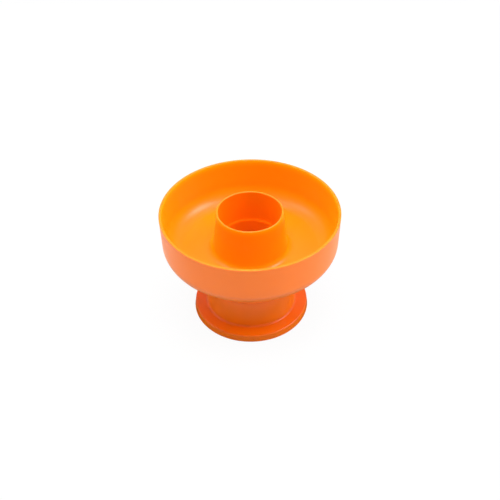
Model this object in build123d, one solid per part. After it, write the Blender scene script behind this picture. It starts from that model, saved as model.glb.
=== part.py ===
from build123d import *
import os
from math import radians, tan

# Donut cutter in two plastic mouldings, standing on its handle with the cutting edges up.
# Millimetres. The origin is the middle of the foot's underside, and +Z runs up the axis.

# Overall
HEIGHT = 55.0  # table to the outer cutting edge
RIM_DIAMETER = 80.0  # outside of the outer cutting edge
HOLE_DIAMETER = 28.2  # inside of the centre cutting edge

# Outer ring and the floor of the bowl
BOWL_DEPTH = 20.4  # outer edge down to the floor
FLOOR_THICKNESS = 1.8
RIM_EDGE = 1.1  # thickness of the outer cutting edge
RING_WALL = 1.8  # thickness of the ring's wall where it meets the floor
RING_DRAFT = 2.0  # degrees, outside
BOWL_ROUNDING = 7.8  # outside, from the wall into the underside
FLOOR_ROUNDING = 8.0  # inside, from the wall into the floor
EDGE_ROUNDING = 0.2

# Centre tube
TUBE_DROP = 0.4  # its edge stands this far below the outer edge
TUBE_EDGE = 0.75  # thickness of the centre cutting edge
TUBE_FLARE = 6.0  # degrees, outside
TUBE_ROOT_FILLET = 3.0
TUBE_EDGE_ROUNDING = 0.3
BORE_DRAFT = 2.0  # degrees, from the centre edge down to the step
BORE_STEP = 0.45  # width of the sloping step inside the tube
STEP_HEIGHT = 0.9
STEP_ROUNDING = 0.5
LAND_LENGTH = 6.2  # straight bore from the floor's underside up to the step

# Waist: the two mouldings meet at a seam round it
SEAM_HEIGHT = 17.6
WAIST_STEP = 3.5  # waist's radius beyond the tube's root
WAIST_DRAFT = 0.5  # degrees, each way from the seam
WAIST_FILLET = 3.0  # into the bowl's underside
SEAM_ROUNDING = 0.15  # each side of the seam

# Socket in the cutter, spigot on the handle
SOCKET_WALL = 2.2
SPIGOT_WALL = 1.7
FIT_CLEARANCE = 0.05  # radial, round the spigot, its bead and its top
SPIGOT_TOP_GAP = 0.3
BEAD_RADIUS = 1.0
BEAD_HEIGHT = 0.35  # how far the snap bead stands out of the spigot
BEAD_DEPTH = 4.0  # bead's middle below the spigot's top
KEY_COUNT = 3  # keys that stop the handle from twisting
KEY_WIDTH = 4.0
KEY_HEIGHT = 0.9
KEY_LENGTH = 4.0
KEY_CLEARANCE = 0.1

# Foot
FOOT_WIDTH = 5.8  # foot's top edge beyond the waist's root
FOOT_HEIGHT = 3.4
FOOT_DRAFT = 8.0  # degrees, the foot widens towards the table
FOOT_FILLET = 1.2  # waist into the foot's top
FOOT_EDGE = 0.6  # rounding of the foot's top edge
HANDLE_WALL = 1.8
BASE_ROUNDING = 0.2
RIB_COUNT = 6
RIB_THICKNESS = 1.4
RIB_LIFT = 0.4  # ribs end this far above the table

# Radii and heights that follow from those sizes
rim_radius = RIM_DIAMETER / 2
floor_z = HEIGHT - BOWL_DEPTH
underside_z = floor_z - FLOOR_THICKNESS
ring_foot_radius = rim_radius - (HEIGHT - underside_z) * tan(radians(RING_DRAFT))
floor_corner_radius = ring_foot_radius - RING_WALL

hole_radius = HOLE_DIAMETER / 2
tube_top_z = HEIGHT - TUBE_DROP
tube_root_radius = hole_radius + TUBE_EDGE + (tube_top_z - floor_z) * tan(radians(TUBE_FLARE))
land_top_z = underside_z + LAND_LENGTH
step_z = land_top_z + STEP_HEIGHT
step_radius = hole_radius - (tube_top_z - step_z) * tan(radians(BORE_DRAFT))
land_radius = step_radius - BORE_STEP

seam_radius = tube_root_radius + WAIST_STEP
waist_slope = tan(radians(WAIST_DRAFT))
waist_top_radius = seam_radius + (underside_z - SEAM_HEIGHT) * waist_slope
waist_root_radius = seam_radius + (SEAM_HEIGHT - FOOT_HEIGHT) * waist_slope
socket_radius = seam_radius - SOCKET_WALL
spigot_radius = socket_radius - FIT_CLEARANCE
spigot_bore_radius = spigot_radius - SPIGOT_WALL
spigot_top_z = underside_z - SPIGOT_TOP_GAP
bead_z = spigot_top_z - BEAD_DEPTH
bead_middle_radius = spigot_radius + BEAD_HEIGHT - BEAD_RADIUS

foot_radius = waist_root_radius + FOOT_WIDTH
foot_base_radius = foot_radius + FOOT_HEIGHT * tan(radians(FOOT_DRAFT))
foot_web_z = FOOT_HEIGHT - HANDLE_WALL
skirt_radius = foot_radius - HANDLE_WALL
skirt_base_radius = foot_base_radius - HANDLE_WALL
hub_bore_radius = waist_root_radius - HANDLE_WALL
shoulder_radius = seam_radius - HANDLE_WALL
shoulder_root_z = SEAM_HEIGHT - HANDLE_WALL

# Roundings are limited by the wall or the face that carries them
bowl_flat = ring_foot_radius - waist_top_radius
bowl_rounding = min(BOWL_ROUNDING, 0.6 * bowl_flat)
waist_fillet = min(WAIST_FILLET, 0.3 * bowl_flat)
floor_width = floor_corner_radius - tube_root_radius
floor_rounding = min(FLOOR_ROUNDING, 0.4 * floor_width)
tube_root_fillet = min(TUBE_ROOT_FILLET, 0.4 * floor_width)
edge_rounding = min(EDGE_ROUNDING, 0.4 * RIM_EDGE)
tube_edge_rounding = min(TUBE_EDGE_ROUNDING, 0.4 * TUBE_EDGE)
foot_edge = min(FOOT_EDGE, 0.4 * FOOT_HEIGHT)
foot_fillet = min(FOOT_FILLET, 0.5 * FOOT_WIDTH)
groove_rounding = 0.3 * foot_web_z


def turned(corners):
    """Ring turned round the axis from a closed outline of (radius, height, rounding) corners."""
    with BuildPart() as ring:
        with BuildSketch(Plane.XZ):
            with BuildLine():
                FilletPolyline(
                    *[(radius, height) for radius, height, _ in corners],
                    radius=[rounding for _, _, rounding in corners],
                    close=True,
                )
            make_face()
        revolve(axis=Axis.Z)
    return ring.part


def bead_ring(growth):
    """Round ring on the spigot's wall that snaps into the socket, grown all round by a clearance."""
    with BuildPart() as ring:
        with BuildSketch(Plane.XZ):
            with Locations((bead_middle_radius, bead_z)):
                Circle(BEAD_RADIUS + growth)
        revolve(axis=Axis.Z)
    return ring.part


def keys(growth):
    """Blocks round the spigot's root, rooted in its wall and grown outwards and upwards by a clearance."""
    root_radius = spigot_radius - SPIGOT_WALL / 2
    reach = spigot_radius + KEY_HEIGHT + growth - root_radius
    with BuildPart() as blocks:
        with Locations((0, 0, SEAM_HEIGHT - growth)):
            with PolarLocations(root_radius, KEY_COUNT):
                Box(
                    reach,
                    KEY_WIDTH + 2 * growth,
                    KEY_LENGTH + 2 * growth,
                    align=(Align.MIN, Align.CENTER, Align.MIN),
                )
    return blocks.part


def foot_ribs():
    """Radial ribs under the foot, from the hub to the skirt."""
    root_radius = waist_root_radius - HANDLE_WALL / 2
    with BuildPart() as ribs:
        with Locations((0, 0, RIB_LIFT)):
            with PolarLocations(root_radius, RIB_COUNT):
                Box(
                    skirt_radius + HANDLE_WALL / 2 - root_radius,
                    RIB_THICKNESS,
                    foot_web_z + HANDLE_WALL / 2 - RIB_LIFT,
                    align=(Align.MIN, Align.CENTER, Align.MIN),
                )
    return ribs.part


def cutter_body():
    """Outer ring, floor, centre tube and the socket under the floor."""
    body = turned(
        [
            (rim_radius, HEIGHT, edge_rounding),
            (ring_foot_radius, underside_z, bowl_rounding),
            (waist_top_radius, underside_z, waist_fillet),
            (seam_radius, SEAM_HEIGHT, SEAM_ROUNDING),
            (socket_radius, SEAM_HEIGHT, SEAM_ROUNDING),
            (socket_radius, underside_z, 0),
            (land_radius, underside_z, 0),
            (land_radius, land_top_z, STEP_ROUNDING),
            (step_radius, step_z, STEP_ROUNDING),
            (hole_radius, tube_top_z, tube_edge_rounding),
            (hole_radius + TUBE_EDGE, tube_top_z, tube_edge_rounding),
            (tube_root_radius, floor_z, tube_root_fillet),
            (floor_corner_radius, floor_z, floor_rounding),
            (rim_radius - RIM_EDGE, HEIGHT, edge_rounding),
        ]
    )
    return body - bead_ring(FIT_CLEARANCE) - keys(KEY_CLEARANCE)


def handle():
    """Foot, lower waist and the spigot that snaps into the cutter."""
    body = turned(
        [
            (spigot_radius, spigot_top_z, SEAM_ROUNDING),
            (spigot_radius, SEAM_HEIGHT, 0),
            (seam_radius, SEAM_HEIGHT, SEAM_ROUNDING),
            (waist_root_radius, FOOT_HEIGHT, foot_fillet),
            (foot_radius, FOOT_HEIGHT, foot_edge),
            (foot_base_radius, 0, BASE_ROUNDING),
            (skirt_base_radius, 0, BASE_ROUNDING),
            (skirt_radius, foot_web_z, groove_rounding),
            (waist_root_radius, foot_web_z, groove_rounding),
            (waist_root_radius, 0, BASE_ROUNDING),
            (hub_bore_radius, 0, BASE_ROUNDING),
            (shoulder_radius, shoulder_root_z - HANDLE_WALL, 0),
            (spigot_bore_radius, shoulder_root_z, 0),
            (spigot_bore_radius, spigot_top_z, SEAM_ROUNDING),
        ]
    )
    return body + bead_ring(0) + keys(0) + foot_ribs()


os.makedirs("parts", exist_ok=True)
export_step(cutter_body(), "parts/cutter_body.step")
export_step(handle(), "parts/handle.step")
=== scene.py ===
"""Looks of a donut cutter: two glossy orange mouldings snapped together, on a white studio floor.

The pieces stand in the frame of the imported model, in metres. Their sizes below are in millimetres.
"""

import logging
from dataclasses import dataclass
from enum import Enum
from math import ceil, cos, pi, radians, sin, tan
from typing import Any

import bmesh
import bpy
from mathutils import Matrix, Vector


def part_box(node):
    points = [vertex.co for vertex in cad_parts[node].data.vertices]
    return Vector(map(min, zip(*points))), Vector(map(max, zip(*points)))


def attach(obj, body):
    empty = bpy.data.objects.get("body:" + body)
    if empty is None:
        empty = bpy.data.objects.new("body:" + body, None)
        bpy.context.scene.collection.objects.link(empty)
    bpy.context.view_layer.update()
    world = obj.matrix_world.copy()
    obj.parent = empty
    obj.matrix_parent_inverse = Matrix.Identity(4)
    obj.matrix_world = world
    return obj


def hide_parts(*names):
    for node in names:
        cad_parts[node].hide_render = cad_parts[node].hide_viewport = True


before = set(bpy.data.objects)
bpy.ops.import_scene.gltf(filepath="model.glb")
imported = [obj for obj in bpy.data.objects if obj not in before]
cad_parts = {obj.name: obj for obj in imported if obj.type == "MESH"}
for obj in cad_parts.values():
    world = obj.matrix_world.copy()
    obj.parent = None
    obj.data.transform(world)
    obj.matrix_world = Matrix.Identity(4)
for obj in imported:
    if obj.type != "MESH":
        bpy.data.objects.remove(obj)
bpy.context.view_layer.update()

MM = 0.001  # metres
BODY = "root"
WHITE = "#FFFFFF"
TURN_STEPS = 240  # faces round the axis
ARC_STEP = 0.5  # mm, about the longest step along a rounding
ARC_ANGLE = radians(10.0)  # largest bend of such a step
STRAIGHT_STEP = 1.6  # mm, longest step along a straight wall
BLOCK_SEGMENTS = 2  # faces across a block's rounded edge
SHARP_ANGLE = radians(40.0)  # an edge that bends more stays sharp
MERGE_DISTANCE = 0.0005  # mm, points that lie closer become one
NEAREST_SHOWN = 0.01  # metres from the camera

log = logging.getLogger("donut_cutter")


class Combine(Enum):
    """How a second shape changes a piece."""

    JOIN = "UNION"
    CUT = "DIFFERENCE"


@dataclass(frozen=True)
class Corner:
    """One corner of a turned outline, in mm.

    Args:
        radius: distance from the axis.
        height: height above the table.
        rounding: radius that the corner is rounded with.
    """

    radius: float
    height: float
    rounding: float = 0.0

    def place(self) -> Vector:
        """Gives the corner's place on the XZ plane, in metres."""
        return Vector((self.radius * MM, 0.0, self.height * MM))


def round_corners(shape: bmesh.types.BMesh, corners: list[Corner]) -> None:
    """Draws a closed outline on the XZ plane and rounds its corners with arcs.

    Args:
        shape: empty mesh that receives the outline.
        corners: corners in order round the outline.
    """
    points = [shape.verts.new(corner.place()) for corner in corners]
    for start, end in zip(points, points[1:] + points[:1]):
        shape.edges.new((start, end))
    for index, corner in enumerate(corners):
        if corner.rounding == 0.0:
            continue
        before = corners[index - 1].place() - corner.place()
        after = corners[(index + 1) % len(corners)].place() - corner.place()
        inside = before.angle(after)
        bend = pi - inside
        bmesh.ops.bevel(
            shape,
            geom=[points[index]],
            affect="VERTICES",
            offset=corner.rounding * MM / tan(inside / 2),
            offset_type="OFFSET",
            segments=max(ceil(bend * corner.rounding / ARC_STEP), ceil(bend / ARC_ANGLE)),
            profile=0.5,
            material=-1,
        )


def turned_piece(name: str, corners: list[Corner]) -> bpy.types.Object:
    """Turns a rounded outline round the Z axis into a closed ring.

    Args:
        name: name of the piece.
        corners: corners in order round the outline.

    Returns:
        The piece, at the origin with its place in its mesh.
    """
    shape = bmesh.new()
    round_corners(shape, corners)
    for edge in list(shape.edges):
        cuts = int(edge.calc_length() / (STRAIGHT_STEP * MM))
        if cuts:
            bmesh.ops.subdivide_edges(shape, edges=[edge], cuts=cuts)
    bmesh.ops.spin(
        shape,
        geom=shape.verts[:] + shape.edges[:],
        cent=(0.0, 0.0, 0.0),
        axis=(0.0, 0.0, 1.0),
        angle=2 * pi,
        steps=TURN_STEPS,
        use_merge=True,
    )
    return finished_piece(name, shape)


def finished_piece(name: str, shape: bmesh.types.BMesh) -> bpy.types.Object:
    """Closes a shape's seams, turns its faces outwards and puts it in the scene.

    Args:
        name: name of the piece.
        shape: the piece's mesh, which is freed.

    Returns:
        The piece, smooth apart from its sharp edges.
    """
    bmesh.ops.remove_doubles(shape, verts=shape.verts[:], dist=MERGE_DISTANCE * MM)
    bmesh.ops.recalc_face_normals(shape, faces=shape.faces[:])
    mesh = bpy.data.meshes.new(name)
    shape.to_mesh(mesh)
    shape.free()
    mesh.shade_smooth()
    mesh.set_sharp_from_angle(angle=SHARP_ANGLE)
    piece = bpy.data.objects.new(name, mesh)
    bpy.context.scene.collection.objects.link(piece)
    return piece


def ring_of_blocks(
    name: str, count: int, low: Vector, high: Vector, rounding: float
) -> bpy.types.Object:
    """Makes equal blocks, evenly spaced round the Z axis.

    Args:
        name: name of the shape.
        count: number of blocks.
        low: lowest corner of the block on the X axis, in mm.
        high: highest corner of that block, in mm.
        rounding: rounding of the block's edges, in mm.

    Returns:
        One object that holds all the blocks.
    """
    shape = bmesh.new()
    for index in range(count):
        place = Matrix.Rotation(2 * pi * index / count, 4, "Z")
        place = place @ Matrix.Translation((low + high) / 2 * MM)
        place = place @ Matrix.Diagonal(((high - low) * MM).to_4d())
        bmesh.ops.create_cube(shape, size=1.0, matrix=place)
    if rounding:
        bmesh.ops.bevel(
            shape,
            geom=shape.edges[:],
            affect="EDGES",
            offset=rounding * MM,
            segments=BLOCK_SEGMENTS,
            profile=0.5,
            material=-1,
        )
    return finished_piece(name, shape)


def combine(piece: bpy.types.Object, other: bpy.types.Object, how: Combine) -> None:
    """Joins another shape to a piece or cuts it out, and removes that shape.

    Args:
        piece: piece that is changed.
        other: closed shape that changes it.
        how: whether the shape is joined or cut.
    """
    change = piece.modifiers.new(other.name, "BOOLEAN")
    change.operation = how.value
    change.solver = "EXACT"
    change.object = other
    bpy.context.view_layer.update()
    graph = bpy.context.evaluated_depsgraph_get()
    before = piece.data
    piece.data = bpy.data.meshes.new_from_object(piece.evaluated_get(graph))
    piece.modifiers.clear()
    piece.data.name = before.name
    bpy.data.meshes.remove(before)
    bpy.data.objects.remove(other)
    piece.data.set_sharp_from_angle(angle=SHARP_ANGLE)


def linear(colour: str) -> tuple[float, float, float, float]:
    """Turns an sRGB hex colour into linear light.

    Args:
        colour: six hex digits after a hash.

    Returns:
        Red, green, blue and an alpha of 1.
    """
    shares = [int(colour[start : start + 2], 16) / 255 for start in (1, 3, 5)]
    red, green, blue = (s / 12.92 if s <= 0.04045 else ((s + 0.055) / 1.055) ** 2.4 for s in shares)
    return red, green, blue, 1.0


def add_node(
    tree: bpy.types.NodeTree,
    kind: str,
    inputs: dict[str | int, Any] | None = None,
    **settings: Any,
) -> bpy.types.Node:
    """Adds a node with its settings and links.

    Args:
        tree: tree that the node goes into.
        kind: Blender's name of the node's type.
        inputs: a value or another node's output for each named or numbered socket.
        settings: the node's own properties.

    Returns:
        The new node.
    """
    node = tree.nodes.new(kind)
    for name, value in settings.items():
        setattr(node, name, value)
    for name, value in (inputs or {}).items():
        if isinstance(value, bpy.types.NodeSocket):
            tree.links.new(value, node.inputs[name])
        else:
            node.inputs[name].default_value = value
    return node


def axis_distance(tree: bpy.types.NodeTree, where: bpy.types.NodeSocket) -> bpy.types.NodeSocket:
    """Adds a point's distance from the Z axis.

    Args:
        tree: tree that the nodes go into.
        where: object coordinates.

    Returns:
        Output with the distance in metres.
    """
    flat = add_node(tree, "ShaderNodeVectorMath", {0: where, 1: (1.0, 1.0, 0.0)}, operation="MULTIPLY")
    length = add_node(tree, "ShaderNodeVectorMath", {0: flat.outputs["Vector"]}, operation="LENGTH")
    return length.outputs["Value"]


@dataclass(frozen=True)
class MouldedPolypropylene:
    """Polypropylene, injection moulded in a polished mould.

    It shows a saturated even pigment with faint clouds from the melt's flow, a gloss that is a little uneven,
    reflections that waver over a fine orange peel, and paler, duller spots where edges are pressed and
    scraped. Light that comes through the plastic is painted into its colour: inside the bowl the thin edges
    and the ring's wall are painted a yellower light, and the inside of the centre tube, which light reaches
    through more plastic, is painted a deeper shade.

    Args:
        name: name of the material.
        pigment: colour of most of the surface.
        cloud: colour inside the flow clouds.
        painted_glow_colour: painted light on the thin edges and the ring's wall, for light that shines
            through them.
        painted_tube_shade: colour inside the centre tube, a painted shade for the redder light that reaches
            it through more plastic.
        worn: colour that the edges wear to.
        gloss: roughness where the mould's polish is best.
        haze: roughness where it is worst.
        edge_height: height of the cutting edges above the table, in mm.
        tube_inside: inside of the centre edge, in mm from the axis.
        bowl_inside: outside of the centre edge, in mm from the axis.
        bowl_outside: inside of the outer edge, in mm from the axis.
        evenness: roughness of the light that scatters under the surface, which evens out the shading.
        ior: refractive index.
        cloud_size: size of the flow clouds, in mm.
        haze_size: size of the dull patches, in mm.
        patch_low: noise up to which there is no cloud or dull patch.
        patch_high: noise from which they are full.
        peel_size: size of the orange peel's bumps, in mm.
        peel_height: height of those bumps, in mm.
        wear_size: size of the worn spots, in mm.
        wear_low: noise up to which there is no worn spot.
        wear_high: noise from which it is full.
        wear_reach: how far wear reaches from an edge, in mm.
        wear_share: share of the worn colour at the edge.
        wear_haze: roughness that wear adds at the edge.
        glow_reach: how far the painted light reaches down from an edge, in mm.
        glow_fade: power that it fades with.
        painted_wall_light_share: share of the painted light on the ring's wall.
        wall_depth: how far down from the edge that share ends, in mm.
        noise_detail: number of finer layers in each noise.
        noise_roughness: share of those layers.
    """

    name: str
    pigment: str
    cloud: str
    painted_glow_colour: str
    painted_tube_shade: str
    worn: str
    gloss: float
    haze: float
    edge_height: float
    tube_inside: float
    bowl_inside: float
    bowl_outside: float
    evenness: float = 1.0
    ior: float = 1.49
    cloud_size: float = 22.0
    haze_size: float = 9.0
    patch_low: float = 0.3
    patch_high: float = 0.7
    peel_size: float = 1.5
    peel_height: float = 0.0015
    wear_size: float = 0.8
    wear_low: float = 0.42
    wear_high: float = 0.62
    wear_reach: float = 0.9
    wear_share: float = 0.1
    wear_haze: float = 0.1
    glow_reach: float = 4.0
    glow_fade: float = 2.5
    painted_wall_light_share: float = 0.2
    wall_depth: float = 19.0
    noise_detail: float = 3.0
    noise_roughness: float = 0.5

    def noise(
        self, tree: bpy.types.NodeTree, where: bpy.types.NodeSocket, size: float
    ) -> bpy.types.NodeSocket:
        """Adds noise.

        Args:
            tree: the material's tree.
            where: object coordinates.
            size: size of the noise's features, in mm.

        Returns:
            Output with the noise, about 0.5 on average.
        """
        inputs = {
            "Vector": where,
            "Scale": 1 / (size * MM),
            "Detail": self.noise_detail,
            "Roughness": self.noise_roughness,
        }
        return add_node(tree, "ShaderNodeTexNoise", inputs).outputs["Fac"]

    def wear(self, tree: bpy.types.NodeTree, where: bpy.types.NodeSocket) -> bpy.types.NodeSocket:
        """Adds the wear mask: spots near the table and near the cutting edges.

        Args:
            tree: the material's tree.
            where: object coordinates.

        Returns:
            Output that is 0 on fresh plastic and up to 1 at a worn edge.
        """
        height = add_node(tree, "ShaderNodeSeparateXYZ", {"Vector": where}).outputs["Z"]
        reach = self.wear_reach * MM
        edge = self.edge_height * MM
        near_table = add_node(
            tree,
            "ShaderNodeMapRange",
            {"Value": height, "From Min": 0.0, "From Max": reach, "To Min": 1.0, "To Max": 0.0},
        ).outputs["Result"]
        near_edge = add_node(
            tree,
            "ShaderNodeMapRange",
            {"Value": height, "From Min": edge - reach, "From Max": edge, "To Min": 0.0, "To Max": 1.0},
        ).outputs["Result"]
        both = add_node(tree, "ShaderNodeMath", {0: near_table, 1: near_edge}, operation="MAXIMUM")
        spots = add_node(
            tree,
            "ShaderNodeMapRange",
            {
                "Value": self.noise(tree, where, self.wear_size),
                "From Min": self.wear_low,
                "From Max": self.wear_high,
            },
        ).outputs["Result"]
        mask = add_node(tree, "ShaderNodeMath", {0: both.outputs[0], 1: spots}, operation="MULTIPLY")
        return mask.outputs[0]

    def painted_edge_light(self, tree: bpy.types.NodeTree, where: bpy.types.NodeSocket) -> bpy.types.NodeSocket:
        """Adds the mask of the painted light on the bowl's side: the thin edges and the ring's wall, where
        light shines through.

        Args:
            tree: the material's tree.
            where: object coordinates.

        Returns:
            Output that is about 1 at a cutting edge, small on the ring's wall and about 0 elsewhere.
        """
        height = add_node(tree, "ShaderNodeSeparateXYZ", {"Vector": where}).outputs["Z"]
        away = axis_distance(tree, where)
        edge = self.edge_height * MM
        depth = self.wall_depth * MM
        middle = (self.bowl_outside + self.bowl_inside) / 2 * MM
        half_width = (self.bowl_outside - self.bowl_inside) / 2 * MM
        near_edge = add_node(
            tree,
            "ShaderNodeMapRange",
            {"Value": height, "From Min": edge - self.glow_reach * MM, "From Max": edge},
        ).outputs["Result"]
        faded = add_node(
            tree, "ShaderNodeMath", {0: near_edge, 1: self.glow_fade}, operation="POWER"
        ).outputs[0]
        on_wall = add_node(
            tree,
            "ShaderNodeMapRange",
            {
                "Value": height,
                "From Min": edge - depth,
                "From Max": edge - depth / 2,
                "To Max": self.painted_wall_light_share,
            },
        ).outputs["Result"]
        outer_half = add_node(
            tree, "ShaderNodeMath", {0: away, 1: middle}, operation="GREATER_THAN"
        ).outputs[0]
        through = add_node(
            tree, "ShaderNodeMath", {0: on_wall, 1: outer_half, 2: faded}, operation="MULTIPLY_ADD"
        ).outputs[0]
        in_bowl = add_node(
            tree, "ShaderNodeMath", {0: away, 1: middle, 2: half_width}, operation="COMPARE"
        ).outputs[0]
        return add_node(tree, "ShaderNodeMath", {0: through, 1: in_bowl}, operation="MULTIPLY").outputs[0]

    def in_tube(self, tree: bpy.types.NodeTree, where: bpy.types.NodeSocket) -> bpy.types.NodeSocket:
        """Adds the mask of the centre tube's inside, which gets the painted shade, and gives its output."""
        inputs = {0: axis_distance(tree, where), 1: self.tube_inside * MM}
        return add_node(tree, "ShaderNodeMath", inputs, operation="LESS_THAN").outputs[0]

    def material(self) -> bpy.types.Material:
        """Builds the plastic's nodes.

        Returns:
            The material.
        """
        made = bpy.data.materials.new(self.name)
        made.use_nodes = True
        tree = made.node_tree
        tree.nodes.clear()
        where = add_node(tree, "ShaderNodeTexCoord").outputs["Object"]
        worn = self.wear(tree, where)
        clouds = add_node(
            tree,
            "ShaderNodeMapRange",
            {
                "Value": self.noise(tree, where, self.cloud_size),
                "From Min": self.patch_low,
                "From Max": self.patch_high,
            },
        ).outputs["Result"]
        colour = add_node(
            tree,
            "ShaderNodeMix",
            {0: clouds, 6: linear(self.pigment), 7: linear(self.cloud)},
            data_type="RGBA",
        ).outputs[2]
        # painted light: a yellower colour on the thin edges and the ring's wall, for light that shines
        # through them
        colour = add_node(
            tree,
            "ShaderNodeMix",
            {0: self.painted_edge_light(tree, where), 6: colour, 7: linear(self.painted_glow_colour)},
            data_type="RGBA",
        ).outputs[2]
        # painted shade: a deeper colour inside the centre tube
        colour = add_node(
            tree,
            "ShaderNodeMix",
            {0: self.in_tube(tree, where), 6: colour, 7: linear(self.painted_tube_shade)},
            data_type="RGBA",
        ).outputs[2]
        worn_share = add_node(tree, "ShaderNodeMath", {0: worn, 1: self.wear_share}, operation="MULTIPLY")
        colour = add_node(
            tree,
            "ShaderNodeMix",
            {0: worn_share.outputs[0], 6: colour, 7: linear(self.worn)},
            data_type="RGBA",
        ).outputs[2]
        haze = add_node(
            tree,
            "ShaderNodeMapRange",
            {
                "Value": self.noise(tree, where, self.haze_size),
                "From Min": self.patch_low,
                "From Max": self.patch_high,
                "To Min": self.gloss,
                "To Max": self.haze,
            },
        ).outputs["Result"]
        roughness = add_node(
            tree, "ShaderNodeMath", {0: worn, 1: self.wear_haze, 2: haze}, operation="MULTIPLY_ADD"
        )
        peel = add_node(
            tree,
            "ShaderNodeBump",
            {
                "Height": self.noise(tree, where, self.peel_size),
                "Distance": self.peel_height * MM,
                "Strength": 1.0,
            },
        )
        shader = add_node(
            tree,
            "ShaderNodeBsdfPrincipled",
            {
                "Base Color": colour,
                "Roughness": roughness.outputs[0],
                "Diffuse Roughness": self.evenness,
                "IOR": self.ior,
                "Normal": peel.outputs["Normal"],
            },
        )
        add_node(tree, "ShaderNodeOutputMaterial", {"Surface": shader.outputs["BSDF"]})
        return made


@dataclass
class CutterBody:
    """Outer cutting ring, floor of the bowl, centre tube and the socket under it, in one moulding, in mm.

    Args:
        height: table to the outer cutting edge.
        seam_height: table to the seam round the waist.
        rim_diameter: outside of the outer cutting edge.
        hole_diameter: inside of the centre cutting edge.
        bowl_depth: outer edge down to the floor.
        floor_thickness: thickness of the floor.
        rim_edge: thickness of the outer cutting edge.
        ring_wall: thickness of the ring's wall where it meets the floor.
        ring_draft: lean of the ring's outside, in degrees.
        bowl_rounding: outside, from the wall into the underside.
        floor_rounding: inside, from the wall into the floor.
        edge_rounding: rounding of the outer edge.
        tube_drop: how far the centre edge stands below the outer edge.
        tube_edge: thickness of the centre cutting edge.
        tube_flare: lean of the tube's outside, in degrees.
        tube_root_fillet: from the tube into the floor.
        tube_edge_rounding: rounding of the centre edge.
        bore_draft: lean of the bore above its step, in degrees.
        bore_step: width of the sloping step inside the tube.
        bore_step_height: height of that step.
        bore_step_rounding: rounding of that step.
        land_length: straight bore from the floor's underside up to the step.
        waist_step: waist's radius beyond the tube's root.
        waist_draft: lean of the waist, in degrees.
        waist_fillet: from the waist into the bowl's underside.
        seam_rounding: rounding of the seam's edges.
        socket_wall: thickness of the socket's wall at the seam.
        snap_depth: floor's underside down to the middle of the snap groove.
        snap_height: depth of that groove, before its corner is rounded.
        snap_width: width of that groove.
        key_count: number of pockets for the handle's keys.
        key_width: width of a pocket.
        key_height: depth of a pocket in the socket's wall.
        key_length: height of a pocket above the seam.
    """

    height: float
    seam_height: float
    rim_diameter: float = 80.0
    hole_diameter: float = 28.2
    bowl_depth: float = 20.4
    floor_thickness: float = 1.8
    rim_edge: float = 1.1
    ring_wall: float = 1.8
    ring_draft: float = 2.0
    bowl_rounding: float = 7.8
    floor_rounding: float = 8.0
    edge_rounding: float = 0.2
    tube_drop: float = 0.4
    tube_edge: float = 0.75
    tube_flare: float = 6.0
    tube_root_fillet: float = 3.0
    tube_edge_rounding: float = 0.3
    bore_draft: float = 2.0
    bore_step: float = 0.45
    bore_step_height: float = 0.9
    bore_step_rounding: float = 0.5
    land_length: float = 6.2
    waist_step: float = 3.5
    waist_draft: float = 0.5
    waist_fillet: float = 3.0
    seam_rounding: float = 0.15
    socket_wall: float = 2.2
    snap_depth: float = 4.3
    snap_height: float = 0.4
    snap_width: float = 1.6
    key_count: int = 3
    key_width: float = 4.2
    key_height: float = 1.0
    key_length: float = 4.1

    @property
    def floor_z(self) -> float:
        """Height of the bowl's floor."""
        return self.height - self.bowl_depth

    @property
    def underside_z(self) -> float:
        """Height of the floor's underside."""
        return self.floor_z - self.floor_thickness

    @property
    def tube_root_radius(self) -> float:
        """Outside of the centre tube where it meets the floor."""
        fall = self.bowl_depth - self.tube_drop
        return self.hole_diameter / 2 + self.tube_edge + fall * tan(radians(self.tube_flare))

    @property
    def seam_radius(self) -> float:
        """Outside of the waist at the seam."""
        return self.tube_root_radius + self.waist_step

    @property
    def socket_radius(self) -> float:
        """Inside of the socket."""
        return self.seam_radius - self.socket_wall

    def outline(self) -> list[Corner]:
        """Works out the moulding's outline.

        Returns:
            Corners from the outer edge down and back up through the bore.
        """
        rim = self.rim_diameter / 2
        hole = self.hole_diameter / 2
        ring_foot = rim - (self.height - self.underside_z) * tan(radians(self.ring_draft))
        floor_corner = ring_foot - self.ring_wall
        waist_top = self.seam_radius + (self.underside_z - self.seam_height) * tan(radians(self.waist_draft))
        tube_top_z = self.height - self.tube_drop
        land_top_z = self.underside_z + self.land_length
        step_z = land_top_z + self.bore_step_height
        step = hole - (tube_top_z - step_z) * tan(radians(self.bore_draft))
        land = step - self.bore_step
        snap_z = self.underside_z - self.snap_depth
        return [
            Corner(rim, self.height, self.edge_rounding),
            Corner(ring_foot, self.underside_z, self.bowl_rounding),
            Corner(waist_top, self.underside_z, self.waist_fillet),
            Corner(self.seam_radius, self.seam_height, self.seam_rounding),
            Corner(self.socket_radius, self.seam_height, self.seam_rounding),
            Corner(self.socket_radius, snap_z - self.snap_width / 2),
            Corner(self.socket_radius + self.snap_height, snap_z, self.snap_width / 2),
            Corner(self.socket_radius, snap_z + self.snap_width / 2),
            Corner(self.socket_radius, self.underside_z),
            Corner(land, self.underside_z),
            Corner(land, land_top_z, self.bore_step_rounding),
            Corner(step, step_z, self.bore_step_rounding),
            Corner(hole, tube_top_z, self.tube_edge_rounding),
            Corner(hole + self.tube_edge, tube_top_z, self.tube_edge_rounding),
            Corner(self.tube_root_radius, self.floor_z, self.tube_root_fillet),
            Corner(floor_corner, self.floor_z, self.floor_rounding),
            Corner(rim - self.rim_edge, self.height, self.edge_rounding),
        ]

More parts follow.
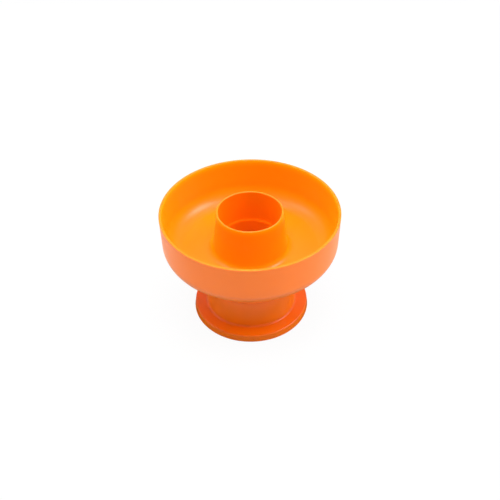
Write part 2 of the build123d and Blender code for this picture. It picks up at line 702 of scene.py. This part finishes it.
    def build(self) -> bpy.types.Object:
        """Builds the moulding with the pockets for the handle's keys.

        Returns:
            The piece.
        """
        piece = turned_piece("cutter_moulding", self.outline())
        half = self.key_width / 2
        low = Vector((self.socket_radius - self.key_height, -half, self.seam_height - self.key_height))
        high = Vector((self.socket_radius + self.key_height, half, self.seam_height + self.key_length))
        pockets = ring_of_blocks("key_pockets", self.key_count, low, high, 0.0)
        combine(piece, pockets, Combine.CUT)
        return piece

    def dress(self, piece: bpy.types.Object, plastic: bpy.types.Material) -> None:
        """Gives the piece its plastic and its place on the model.

        Args:
            piece: the moulding.
            plastic: its material.
        """
        piece.data.materials.append(plastic)
        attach(piece, BODY)
        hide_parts("cutter_body")


@dataclass
class Handle:
    """Foot, lower half of the waist and the spigot that snaps into the cutter, in one moulding, in mm.

    Args:
        spigot_top: table to the spigot's top.
        seam_height: table to the seam round the waist.
        seam_radius: outside of the waist at the seam.
        socket_radius: inside of the cutter's socket.
        fit_clearance: gap round the spigot.
        spigot_wall: thickness of the spigot's wall.
        snap_depth: spigot's top down to the middle of the snap bead.
        snap_height: how far that bead stands out, before its corner is rounded.
        snap_width: width of that bead.
        waist_draft: lean of the waist, in degrees.
        seam_rounding: rounding of the seam's and the spigot's edges.
        foot_width: foot's top edge beyond the waist's root.
        foot_height: table to the foot's top.
        foot_draft: lean of the foot's side, in degrees.
        foot_fillet: from the waist into the foot's top.
        foot_edge: rounding of the foot's top edge.
        wall: thickness of the waist and the foot.
        base_rounding: rounding of the edges on the table.
        groove_rounding: rounding in the groove under the foot.
        key_count: number of keys that stop the handle from twisting.
        key_width: width of a key.
        key_height: how far a key stands out of the spigot.
        key_length: height of a key above the seam.
        rib_count: number of ribs under the foot.
        rib_thickness: thickness of a rib.
        rib_lift: gap between the ribs and the table.
        rib_rounding: rounding of the ribs' edges.
    """

    spigot_top: float
    seam_height: float
    seam_radius: float
    socket_radius: float
    fit_clearance: float = 0.05
    spigot_wall: float = 1.7
    snap_depth: float = 4.0
    snap_height: float = 0.35
    snap_width: float = 1.5
    waist_draft: float = 0.5
    seam_rounding: float = 0.15
    foot_width: float = 5.8
    foot_height: float = 3.4
    foot_draft: float = 8.0
    foot_fillet: float = 1.2
    foot_edge: float = 0.6
    wall: float = 1.8
    base_rounding: float = 0.2
    groove_rounding: float = 0.48
    key_count: int = 3
    key_width: float = 4.0
    key_height: float = 0.9
    key_length: float = 4.0
    rib_count: int = 6
    rib_thickness: float = 1.4
    rib_lift: float = 0.4
    rib_rounding: float = 0.25

    @property
    def waist_root_radius(self) -> float:
        """Outside of the waist where it meets the foot."""
        return self.seam_radius + (self.seam_height - self.foot_height) * tan(radians(self.waist_draft))

    @property
    def foot_radius(self) -> float:
        """Outside of the foot at its top."""
        return self.waist_root_radius + self.foot_width

    @property
    def web_z(self) -> float:
        """Underside of the foot's top wall."""
        return self.foot_height - self.wall

    @property
    def spigot_radius(self) -> float:
        """Outside of the spigot."""
        return self.socket_radius - self.fit_clearance

    def outline(self) -> list[Corner]:
        """Works out the moulding's outline.

        Returns:
            Corners from the spigot's top down, round the foot and up the hollow.
        """
        spigot = self.spigot_radius
        bore = spigot - self.spigot_wall
        spread = self.foot_height * tan(radians(self.foot_draft))
        skirt = self.foot_radius - self.wall
        hub_bore = self.waist_root_radius - self.wall
        shoulder = self.seam_radius - self.wall
        shoulder_z = self.seam_height - self.wall
        snap_z = self.spigot_top - self.snap_depth
        return [
            Corner(spigot, self.spigot_top, self.seam_rounding),
            Corner(spigot, snap_z + self.snap_width / 2),
            Corner(spigot + self.snap_height, snap_z, self.snap_width / 2),
            Corner(spigot, snap_z - self.snap_width / 2),
            Corner(spigot, self.seam_height),
            Corner(self.seam_radius, self.seam_height, self.seam_rounding),
            Corner(self.waist_root_radius, self.foot_height, self.foot_fillet),
            Corner(self.foot_radius, self.foot_height, self.foot_edge),
            Corner(self.foot_radius + spread, 0.0, self.base_rounding),
            Corner(skirt + spread, 0.0, self.base_rounding),
            Corner(skirt, self.web_z, self.groove_rounding),
            Corner(self.waist_root_radius, self.web_z, self.groove_rounding),
            Corner(self.waist_root_radius, 0.0, self.base_rounding),
            Corner(hub_bore, 0.0, self.base_rounding),
            Corner(shoulder, shoulder_z - self.wall),
            Corner(bore, shoulder_z),
            Corner(bore, self.spigot_top, self.seam_rounding),
        ]

    def build(self) -> bpy.types.Object:
        """Builds the moulding with its keys and the ribs under its foot.

        Returns:
            The piece.
        """
        piece = turned_piece("handle_moulding", self.outline())
        half = self.key_width / 2
        low = Vector((self.spigot_radius - self.spigot_wall / 2, -half, self.seam_height - self.wall / 2))
        high = Vector((self.spigot_radius + self.key_height, half, self.seam_height + self.key_length))
        keys = ring_of_blocks("keys", self.key_count, low, high, 0.0)
        combine(piece, keys, Combine.JOIN)
        half = self.rib_thickness / 2
        low = Vector((self.waist_root_radius - self.wall / 2, -half, self.rib_lift))
        high = Vector((self.foot_radius - self.wall / 2, half, self.web_z + self.wall / 2))
        ribs = ring_of_blocks("ribs", self.rib_count, low, high, self.rib_rounding)
        combine(piece, ribs, Combine.JOIN)
        return piece

    def dress(self, piece: bpy.types.Object, plastic: bpy.types.Material) -> None:
        """Gives the piece its plastic and its place on the model.

        Args:
            piece: the moulding.
            plastic: its material.
        """
        piece.data.materials.append(plastic)
        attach(piece, BODY)
        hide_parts("handle")


def seen_directly(tree: bpy.types.NodeTree) -> bpy.types.NodeSocket:
    """Adds the mask of what the camera, a reflection or glass shows.

    Args:
        tree: tree that the nodes go into.

    Returns:
        Output that is 1 for what is seen and 0 for what only gives light.
    """
    path = add_node(tree, "ShaderNodeLightPath")
    either = add_node(
        tree,
        "ShaderNodeMath",
        {0: path.outputs["Is Camera Ray"], 1: path.outputs["Is Glossy Ray"]},
        operation="MAXIMUM",
    )
    return add_node(
        tree,
        "ShaderNodeMath",
        {0: either.outputs[0], 1: path.outputs["Is Transmission Ray"]},
        operation="MAXIMUM",
    ).outputs[0]


@dataclass(frozen=True)
class MattPaper:
    """White seamless background paper, unprinted.

    It shows a plain matt white with a faint shadow round the cutter's foot. Reflections show a painted
    shadow: it is dark under the cutter and white further off.

    Args:
        name: name of the material.
        shade: colour of the paper under the lamps.
        shown_white: share of plain white in what the camera and reflections see.
        mirrored_white: strength of that white in reflections.
        painted_shadow_reach: distance from the axis up to which reflections show the painted shadow, in mm.
        white_reach: distance from which they show it white, in mm.
    """

    name: str = "matt_background_paper"
    shade: str = "#C9C9C9"
    shown_white: float = 0.95
    mirrored_white: float = 0.78
    painted_shadow_reach: float = 33.0
    white_reach: float = 48.0

    def material(self) -> bpy.types.Material:
        """Builds the paper's nodes.

        Returns:
            The material.
        """
        made = bpy.data.materials.new(self.name)
        made.use_nodes = True
        tree = made.node_tree
        tree.nodes.clear()
        paper = add_node(tree, "ShaderNodeBsdfDiffuse", {"Color": linear(self.shade)})
        where = add_node(tree, "ShaderNodeTexCoord").outputs["Object"]
        away = add_node(tree, "ShaderNodeVectorMath", {0: where}, operation="LENGTH").outputs["Value"]
        # painted shadow: reflections see no white near the axis, for the shade under the cutter
        mirrored = add_node(
            tree,
            "ShaderNodeMapRange",
            {
                "Value": away,
                "From Min": self.painted_shadow_reach * MM,
                "From Max": self.white_reach * MM,
                "To Max": self.mirrored_white,
            },
        ).outputs["Result"]
        camera = add_node(tree, "ShaderNodeLightPath").outputs["Is Camera Ray"]
        shown = add_node(tree, "ShaderNodeMath", {0: camera, 1: mirrored}, operation="MAXIMUM").outputs[0]
        white = add_node(tree, "ShaderNodeEmission", {"Color": linear(WHITE), "Strength": shown})
        share = add_node(
            tree, "ShaderNodeMath", {0: seen_directly(tree), 1: self.shown_white}, operation="MULTIPLY"
        ).outputs[0]
        mixed = add_node(
            tree, "ShaderNodeMixShader", {0: share, 1: paper.outputs["BSDF"], 2: white.outputs["Emission"]}
        )
        add_node(tree, "ShaderNodeOutputMaterial", {"Surface": mixed.outputs["Shader"]})
        return made


@dataclass(frozen=True)
class Softbox:
    """A soft square lamp that points at the middle of the cutter.

    Args:
        name: name of the lamp.
        turn: direction it stands in, in degrees from +X towards +Y.
        lift: its height as an angle above the table, in degrees.
        distance: metres from the cutter.
        size: side of its square front, in metres.
        power: watts.
        mirrored: whether reflections show it.
    """

    name: str
    turn: float
    lift: float
    distance: float
    size: float
    power: float
    mirrored: bool = True

    def build(self, aim: Vector) -> bpy.types.Object:
        """Builds the lamp.

        Args:
            aim: point that it lights, in metres.

        Returns:
            The lamp's object.
        """
        data = bpy.data.lights.new(self.name, "AREA")
        data.shape = "SQUARE"
        data.size = self.size
        data.energy = self.power
        lamp = bpy.data.objects.new(self.name, data)
        turn = radians(self.turn)
        lift = radians(self.lift)
        away = Vector((cos(lift) * cos(turn), cos(lift) * sin(turn), sin(lift)))
        lamp.location = aim + away * self.distance
        lamp.rotation_euler = away.to_track_quat("Z", "Y").to_euler()
        lamp.visible_camera = False
        lamp.visible_glossy = self.mirrored
        bpy.context.scene.collection.objects.link(lamp)
        return lamp


@dataclass
class Studio:
    """White paper floor, soft lamps, a pale surround and the camera, in metres.

    Args:
        aim: point that the lamps light.
        floor_size: side of the square floor.
        front_surround: strength of the surround's light on the camera's side.
        back_surround: strength of its light behind the cutter.
        turn_over: how far to each side of the middle the one fades into the other, along a direction's Y.
        mirrored_surround: strength of the surround in reflections, high up.
        white_lift: angle above the table up to which reflections show it white, in degrees.
        dim_lift: angle from which they show it dim, in degrees.
        softboxes: the lamps.
        camera_back: how far the camera stands in front of the cutter's axis.
        camera_height: its height above the table.
        camera_dip: how far it looks down, in degrees.
        camera_roll: its roll, in degrees.
        camera_turn: its turn to the left, in degrees.
        focal_pixels: its focal length, in pixels of the picture.
        image_pixels: width of the picture, in pixels.
        sensor_width: width of its sensor, in mm.
    """

    aim: Vector
    floor_size: float = 8.0
    front_surround: float = 0.3
    back_surround: float = 0.95
    turn_over: float = 0.5
    mirrored_surround: float = 0.25
    white_lift: float = 2.0
    dim_lift: float = 14.0
    softboxes: tuple[Softbox, ...] = (
        Softbox("right_softbox", -3.0, 46.0, 0.9, 0.4, 3.4),
        Softbox("left_softbox", 176.0, 47.0, 0.9, 0.4, 1.0),
        Softbox("overhead_fill", -90.0, 88.0, 1.0, 0.6, 12.2, mirrored=False),
        Softbox("front_fill", -90.0, 75.0, 0.9, 0.5, 2.8, mirrored=False),
    )
    camera_back: float = 0.2859
    camera_height: float = 0.2737
    camera_dip: float = 40.18
    camera_roll: float = -0.967
    camera_turn: float = 0.0396
    focal_pixels: float = 820.6
    image_pixels: float = 500.0
    sensor_width: float = 36.0

    def build_floor(self) -> bpy.types.Object:
        """Lays the paper at the table's height.

        Returns:
            The floor.
        """
        shape = bmesh.new()
        bmesh.ops.create_grid(shape, x_segments=1, y_segments=1, size=self.floor_size / 2)
        floor = finished_piece("paper_floor", shape)
        floor.data.materials.append(MattPaper().material())
        return floor

    def build_surround(self) -> None:
        """Lights the room, more from behind the cutter than from the front, with a white background."""
        world = bpy.data.worlds.new("pale_surround")
        world.use_nodes = True
        tree = world.node_tree
        tree.nodes.clear()
        where = add_node(tree, "ShaderNodeTexCoord").outputs["Generated"]
        direction = add_node(tree, "ShaderNodeSeparateXYZ", {"Vector": where})
        level = add_node(
            tree,
            "ShaderNodeMapRange",
            {
                "Value": direction.outputs["Y"],
                "From Min": -self.turn_over,
                "From Max": self.turn_over,
                "To Min": self.front_surround,
                "To Max": self.back_surround,
            },
        ).outputs["Result"]
        light = add_node(tree, "ShaderNodeBackground", {"Color": linear(WHITE), "Strength": level})
        mirrored = add_node(
            tree,
            "ShaderNodeMapRange",
            {
                "Value": direction.outputs["Z"],
                "From Min": sin(radians(self.white_lift)),
                "From Max": sin(radians(self.dim_lift)),
                "To Min": 1.0,
                "To Max": self.mirrored_surround,
            },
            interpolation_type="SMOOTHSTEP",
        ).outputs["Result"]
        camera = add_node(tree, "ShaderNodeLightPath").outputs["Is Camera Ray"]
        shown = add_node(tree, "ShaderNodeMath", {0: camera, 1: mirrored}, operation="MAXIMUM").outputs[0]
        white = add_node(tree, "ShaderNodeBackground", {"Color": linear(WHITE), "Strength": shown})
        mixed = add_node(
            tree,
            "ShaderNodeMixShader",
            {0: seen_directly(tree), 1: light.outputs["Background"], 2: white.outputs["Background"]},
        )
        add_node(tree, "ShaderNodeOutputWorld", {"Surface": mixed.outputs["Shader"]})
        bpy.context.scene.world = world

    def build_camera(self) -> bpy.types.Object:
        """Sets the camera in front of the cutter, looking down at it.

        Returns:
            The camera's object.
        """
        data = bpy.data.cameras.new("camera")
        data.sensor_width = self.sensor_width
        data.lens = self.focal_pixels / self.image_pixels * self.sensor_width
        data.clip_start = NEAREST_SHOWN
        camera = bpy.data.objects.new("camera", data)
        place = Matrix.Translation((0.0, -self.camera_back, self.camera_height))
        tilt = Matrix.Rotation(radians(90.0 - self.camera_dip), 4, "X")
        roll = Matrix.Rotation(radians(self.camera_roll), 4, "Z")
        turn = Matrix.Rotation(radians(self.camera_turn), 4, "Z")
        camera.matrix_world = place @ turn @ tilt @ roll
        bpy.context.scene.collection.objects.link(camera)
        bpy.context.scene.camera = camera
        return camera

    def build(self) -> None:
        """Builds the floor, the lamps, the surround and the camera."""
        self.build_floor()
        self.build_surround()
        for softbox in self.softboxes:
            softbox.build(self.aim)
        self.build_camera()
        bpy.context.scene.view_settings.view_transform = "Standard"


def main() -> None:
    """Builds and dresses the two mouldings, then the studio."""
    logging.basicConfig(level=logging.INFO, format="%(name)s: %(message)s")
    cutter_low, cutter_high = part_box("cutter_body")
    _, handle_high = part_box("handle")
    cutter = CutterBody(height=cutter_high.z / MM, seam_height=cutter_low.z / MM)
    handle = Handle(
        spigot_top=handle_high.z / MM,
        seam_height=cutter.seam_height,
        seam_radius=cutter.seam_radius,
        socket_radius=cutter.socket_radius,
    )
    plastic = MouldedPolypropylene(
        name="moulded_polypropylene_orange",
        pigment="#FE8200",
        cloud="#FE8000",
        # painted light on the thin edges and the ring's wall
        painted_glow_colour="#FEAE00",
        # painted shade inside the centre tube
        painted_tube_shade="#FE7400",
        worn="#FFA94F",
        gloss=0.28,
        haze=0.34,
        edge_height=cutter.height,
        tube_inside=cutter.hole_diameter / 2,
        bowl_inside=cutter.hole_diameter / 2 + cutter.tube_edge,
        bowl_outside=cutter.rim_diameter / 2 - cutter.rim_edge,
    ).material()
    for part in (cutter, handle):
        piece = part.build()
        part.dress(piece, plastic)
        log.info("%s: %d faces", piece.name, len(piece.data.polygons))
    Studio(aim=Vector((0.0, 0.0, cutter.height / 2 * MM))).build()


if __name__ == "__main__":
    main()
